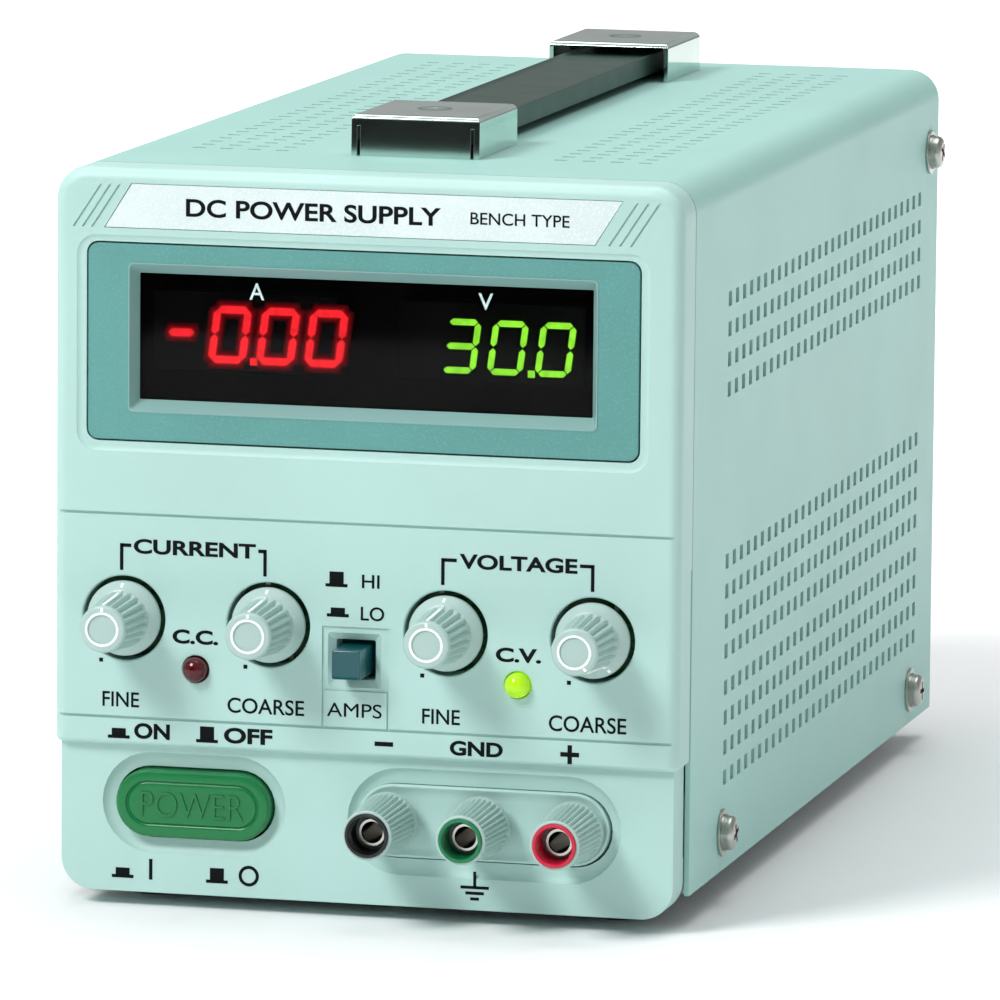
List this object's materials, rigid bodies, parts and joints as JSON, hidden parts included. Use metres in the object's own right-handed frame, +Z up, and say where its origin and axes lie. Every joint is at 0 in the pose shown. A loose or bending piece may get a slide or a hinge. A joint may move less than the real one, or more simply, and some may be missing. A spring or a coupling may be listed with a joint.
{
  "type": "bench power supply",
  "caption": "Single-output linear bench supply: box case with vented cover, strap handle, digital meters, control knobs, binding posts and rear cooler.",
  "frame": {"origin": "bottom centre of the whole object, on the surface that the feet stand on", "axes": "+Z up, front panel faces -Y, +X to the viewer's right"},
  "size_m": [0.134, 0.285, 0.157],
  "materials": {
    "panel_moulding": "satin",
    "badge_film": "satin",
    "surround_film": "satin",
    "window_tint": "gloss",
    "red_digits": "gloss",
    "green_digits": "gloss",
    "circuit_board": "satin",
    "zinc_sheet": "satin",
    "red_lamp_lens": "gloss",
    "green_lamp_lens": "gloss",
    "dark_moulding": "satin",
    "nickel_plate": "polished",
    "cover_paint": "textured",
    "rear_paint": "textured",
    "black_anodised": "matte",
    "pin_brass": "satin",
    "handle_chrome": "polished",
    "strap_cover": "satin",
    "foot_rubber": "matte",
    "core_laminations": "varnished",
    "coil_tape": "satin",
    "capacitor_sleeve": "gloss",
    "knob_moulding": "satin",
    "range_cap": "satin",
    "power_cap": "satin",
    "black_insulator": "gloss",
    "green_insulator": "gloss",
    "red_insulator": "gloss"
  },
  "bodies": {
    "root": {"front_bezel": "panel_moulding", "badge_plate": "badge_film", "display_surround": "surround_film", "display_window": "window_tint", "ammeter_digits": "red_digits", "voltmeter_digits": "green_digits", "display_board": "circuit_board", "potentiometers": "zinc_sheet", "control_board": "circuit_board", "current_lamp": "red_lamp_lens", "voltage_lamp": "green_lamp_lens", "range_switch": "dark_moulding", "power_switch": "dark_moulding", "post_plate": "panel_moulding", "negative_stem": "nickel_plate", "ground_stem": "nickel_plate", "positive_stem": "nickel_plate", "cover": "cover_paint", "chassis": "zinc_sheet", "rear_panel": "rear_paint", "heat_sink": "black_anodised", "power_transistors": "nickel_plate", "mains_inlet": "dark_moulding", "inlet_pins": "pin_brass", "selector_cases": "dark_moulding", "cover_screws": "nickel_plate", "front_handle_cap": "handle_chrome", "rear_handle_cap": "handle_chrome", "handle_screws": "nickel_plate", "handle_strap": "strap_cover", "rubber_feet": "foot_rubber", "foot_screws": "nickel_plate", "transformer_core": "core_laminations", "transformer_coil": "coil_tape", "main_board": "circuit_board", "board_spacers": "pin_brass", "smoothing_capacitors": "capacitor_sleeve"},
    "current_fine_control": {"current_fine_knob": "knob_moulding", "current_fine_shaft": "nickel_plate"},
    "current_coarse_control": {"current_coarse_knob": "knob_moulding", "current_coarse_shaft": "nickel_plate"},
    "voltage_fine_control": {"voltage_fine_knob": "knob_moulding", "voltage_fine_shaft": "nickel_plate"},
    "voltage_coarse_control": {"voltage_coarse_knob": "knob_moulding", "voltage_coarse_shaft": "nickel_plate"},
    "range_push": {"range_button": "range_cap"},
    "power_push": {"power_button": "power_cap", "power_rod": "dark_moulding"},
    "negative_clamp": {"negative_washer": "nickel_plate"},
    "negative_head": {"negative_cap": "knob_moulding", "negative_collar": "black_insulator"},
    "ground_clamp": {"ground_washer": "nickel_plate"},
    "ground_head": {"ground_cap": "knob_moulding", "ground_collar": "green_insulator"},
    "positive_clamp": {"positive_washer": "nickel_plate"},
    "positive_head": {"positive_cap": "knob_moulding", "positive_collar": "red_insulator"},
    "fuse_tray": {"fuse_drawer": "dark_moulding"},
    "left_selector": {"left_selector_slider": "red_insulator"},
    "right_selector": {"right_selector_slider": "red_insulator"}
  },
  "joints": [
    {"name": "current_fine_turn", "type": "hinge", "parent": "root", "child": "current_fine_control", "pos_m": [-0.0494, -0.1265, 0.0586], "axis": [0, 1, 0], "range_deg": [-150, 150]},
    {"name": "current_coarse_turn", "type": "hinge", "parent": "root", "child": "current_coarse_control", "pos_m": [-0.01955, -0.1265, 0.0586], "axis": [0, 1, 0], "range_deg": [-150, 150]},
    {"name": "voltage_fine_turn", "type": "hinge", "parent": "root", "child": "voltage_fine_control", "pos_m": [0.01675, -0.1265, 0.0586], "axis": [0, 1, 0], "range_deg": [-150, 150]},
    {"name": "voltage_coarse_turn", "type": "hinge", "parent": "root", "child": "voltage_coarse_control", "pos_m": [0.0466, -0.1265, 0.0586], "axis": [0, 1, 0], "range_deg": [-150, 150]},
    {"name": "range_press", "type": "slide", "parent": "root", "child": "range_push", "axis": [0, 1, 0], "range_m": [0, 0.0025]},
    {"name": "power_release", "type": "slide", "parent": "root", "child": "power_push", "axis": [0, -1, 0], "range_m": [0, 0.003]},
    {"name": "negative_clamp_slide", "type": "slide", "parent": "root", "child": "negative_clamp", "axis": [0, -1, 0], "range_m": [0, 0.005]},
    {"name": "negative_head_turn", "type": "hinge", "parent": "negative_clamp", "child": "negative_head", "pos_m": [0.005, -0.1233, 0.0201], "axis": [0, -1, 0], "range_deg": [0, 1800]},
    {"name": "ground_clamp_slide", "type": "slide", "parent": "root", "child": "ground_clamp", "axis": [0, -1, 0], "range_m": [0, 0.005]},
    {"name": "ground_head_turn", "type": "hinge", "parent": "ground_clamp", "child": "ground_head", "pos_m": [0.024, -0.1233, 0.0201], "axis": [0, -1, 0], "range_deg": [0, 1800]},
    {"name": "positive_clamp_slide", "type": "slide", "parent": "root", "child": "positive_clamp", "axis": [0, -1, 0], "range_m": [0, 0.005]},
    {"name": "positive_head_turn", "type": "hinge", "parent": "positive_clamp", "child": "positive_head", "pos_m": [0.043, -0.1233, 0.0201], "axis": [0, -1, 0], "range_deg": [0, 1800]},
    {"name": "fuse_tray_slide", "type": "slide", "parent": "root", "child": "fuse_tray", "axis": [0, 1, 0], "range_m": [0, 0.016]},
    {"name": "left_selector_slide", "type": "slide", "parent": "root", "child": "left_selector", "axis": [0, 0, 1], "range_m": [0, 0.005]},
    {"name": "right_selector_slide", "type": "slide", "parent": "root", "child": "right_selector", "axis": [0, 0, 1], "range_m": [0, 0.005]}
  ],
  "couplings": [
    {"joint": "negative_head_turn", "follows": "negative_clamp_slide", "rad_per_m": 6283.2},
    {"joint": "ground_head_turn", "follows": "ground_clamp_slide", "rad_per_m": 6283.2},
    {"joint": "positive_head_turn", "follows": "positive_clamp_slide", "rad_per_m": 6283.2}
  ]
}
